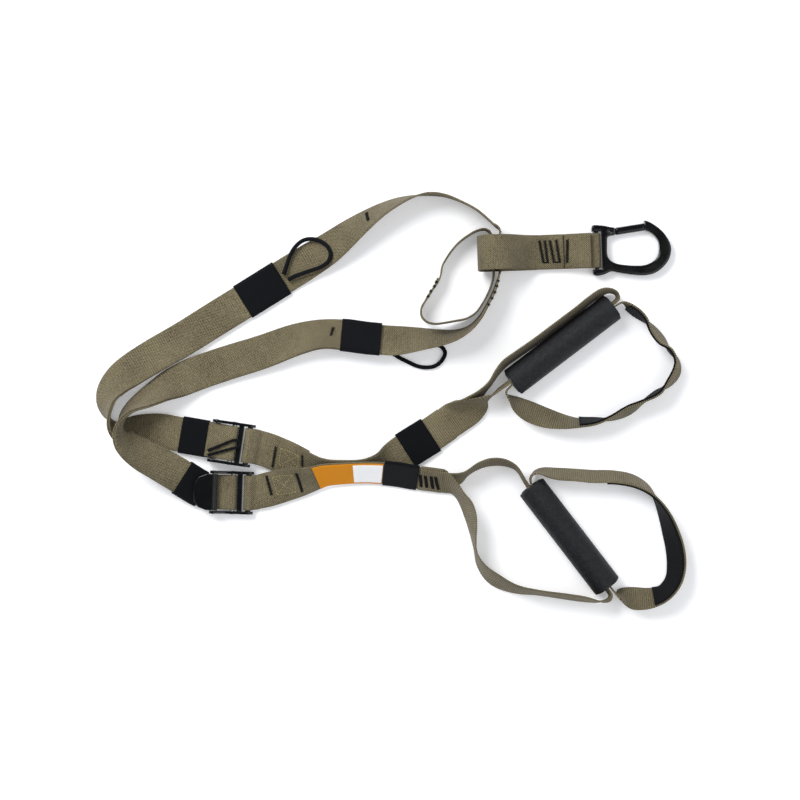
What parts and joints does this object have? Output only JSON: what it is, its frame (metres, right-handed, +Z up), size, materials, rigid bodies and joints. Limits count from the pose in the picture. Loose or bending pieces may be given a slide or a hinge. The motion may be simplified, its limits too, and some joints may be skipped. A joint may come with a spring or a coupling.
{
  "type": "suspension trainer",
  "caption": "Adjustable webbing straps on a locking anchor carabiner, with cam buckles, rubber grips and padded foot loops, laid flat.",
  "frame": {"origin": "centre of the box round the laid-out trainer, at floor level", "axes": "+X from the straps' outer bends towards the handles and carabiner, +Y to the carabiner's side, +Z up from the floor"},
  "size_m": [0.6466, 0.456, 0.061],
  "materials": {
    "anchor_bar": "polished",
    "anchor_strap": "woven",
    "buckle_frame_a": "gloss",
    "buckle_frame_b": "gloss",
    "cam_lever_a": "gloss",
    "cam_lever_b": "gloss",
    "cam_pin_a": "polished",
    "cam_pin_b": "polished",
    "carabiner_body": "gloss",
    "carabiner_gate": "gloss",
    "care_label": "satin",
    "cord_a_lower": "woven",
    "cord_a_upper": "woven",
    "cord_b_upper": "woven",
    "equalizer_loop": "woven",
    "foot_pad_a": "woven",
    "foot_pad_b": "woven",
    "foot_strap_a": "woven",
    "foot_strap_b": "woven",
    "gate_hinge_pin": "polished",
    "grip_a": "matte",
    "grip_b": "matte",
    "grip_core_a": "matte",
    "grip_core_b": "matte",
    "handle_strap_a": "woven",
    "handle_strap_b": "woven",
    "keeper_a_lower": "woven",
    "keeper_a_upper": "woven",
    "keeper_b_lower": "woven",
    "keeper_b_upper": "woven",
    "leg_a_lead": "woven",
    "leg_a_strap": "woven",
    "leg_b_lead": "woven",
    "leg_b_strap": "woven",
    "roller_a": "polished",
    "roller_b": "polished",
    "stem_a": "woven",
    "stem_b": "woven",
    "tag_a": "woven",
    "tag_b": "woven"
  },
  "bodies": {
    "trainer": {"anchor_strap": "anchor_strap", "equalizer_loop": "equalizer_loop", "leg_a_lead": "leg_a_lead", "leg_b_lead": "leg_b_lead", "leg_a_strap": "leg_a_strap", "leg_b_strap": "leg_b_strap", "stem_a": "stem_a", "stem_b": "stem_b", "tag_a": "tag_a", "tag_b": "tag_b", "care_label": "care_label", "keeper_a_lower": "keeper_a_lower", "keeper_b_upper": "keeper_b_upper", "keeper_b_lower": "keeper_b_lower", "buckle_frame_a": "buckle_frame_a", "buckle_frame_b": "buckle_frame_b", "cam_pin_a": "cam_pin_a", "cam_pin_b": "cam_pin_b", "cord_a_upper": "cord_a_upper", "cord_b_upper": "cord_b_upper", "cord_a_lower": "cord_a_lower"},
    "carabiner": {"carabiner_body": "carabiner_body", "anchor_bar": "anchor_bar", "gate_hinge_pin": "gate_hinge_pin"},
    "gate": {"carabiner_gate": "carabiner_gate"},
    "roller_a": {"roller_a": "roller_a"},
    "roller_b": {"roller_b": "roller_b"},
    "lever_a": {"cam_lever_a": "cam_lever_a"},
    "lever_b": {"cam_lever_b": "cam_lever_b"},
    "keeper_a": {"keeper_a_upper": "keeper_a_upper"},
    "handle_a": {"handle_strap_a": "handle_strap_a", "foot_strap_a": "foot_strap_a", "foot_pad_a": "foot_pad_a"},
    "handle_b": {"handle_strap_b": "handle_strap_b", "foot_strap_b": "foot_strap_b", "foot_pad_b": "foot_pad_b"},
    "grip_a": {"grip_a": "grip_a", "grip_core_a": "grip_core_a"},
    "grip_b": {"grip_b": "grip_b", "grip_core_b": "grip_core_b"}
  },
  "joints": [
    {"name": "carabiner_swing", "type": "hinge", "parent": "trainer", "child": "carabiner", "pos_m": [0.22667, 0.16563, 0.00629], "axis": [0.0349, -0.9994, 0], "range_deg": [0, 80]},
    {"name": "gate_hinge", "type": "hinge", "parent": "carabiner", "child": "gate", "pos_m": [0.24035, 0.18543, 0.00629], "axis": [0, 0, -1], "range_deg": [0, 24], "stiffness_Nm_per_rad": 0.05, "springref_deg": -17.19},
    {"name": "lever_a_pivot", "type": "hinge", "parent": "trainer", "child": "lever_a", "pos_m": [-0.19273, -0.04268, 0.00534], "axis": [-0.1478, -0.989, 0], "range_deg": [0, 35], "stiffness_Nm_per_rad": 0.06, "springref_deg": -20.05},
    {"name": "lever_b_pivot", "type": "hinge", "parent": "trainer", "child": "lever_b", "pos_m": [-0.19301, -0.09897, 0.01454], "axis": [0.0349, 0.9994, 0], "range_deg": [0, 45], "stiffness_Nm_per_rad": 0.06, "springref_deg": -20.05},
    {"name": "roller_a_spin", "type": "hinge", "parent": "trainer", "child": "roller_a", "pos_m": [-0.17255, -0.04569, 0.01299], "axis": [0.1478, 0.989, 0], "continuous": true},
    {"name": "roller_b_spin", "type": "hinge", "parent": "trainer", "child": "roller_b", "pos_m": [-0.17262, -0.09968, 0.00689], "axis": [-0.0349, -0.9994, 0], "continuous": true},
    {"name": "keeper_a_slide", "type": "slide", "parent": "trainer", "child": "keeper_a", "axis": [-0.8494, -0.5277, -0.0005], "range_m": [0, 0.016]},
    {"name": "handle_a_lift", "type": "hinge", "parent": "trainer", "child": "handle_a", "pos_m": [0.06301, -0.02396, 0.00458], "axis": [0.5742, -0.8187, 0], "range_deg": [0, 60]},
    {"name": "handle_b_lift", "type": "hinge", "parent": "trainer", "child": "handle_b", "pos_m": [0.05628, -0.08823, 0.01709], "axis": [-0.1062, -0.6341, -0.7659], "range_deg": [0, 45]},
    {"name": "grip_a_spin", "type": "hinge", "parent": "handle_a", "child": "grip_a", "pos_m": [0.1885, 0.06223, 0.01649], "axis": [0.7959, 0.6054, 0], "continuous": true},
    {"name": "grip_b_spin", "type": "hinge", "parent": "handle_b", "child": "grip_b", "pos_m": [0.19609, -0.14743, 0.01649], "axis": [0.6079, -0.794, 0], "continuous": true}
  ]
}
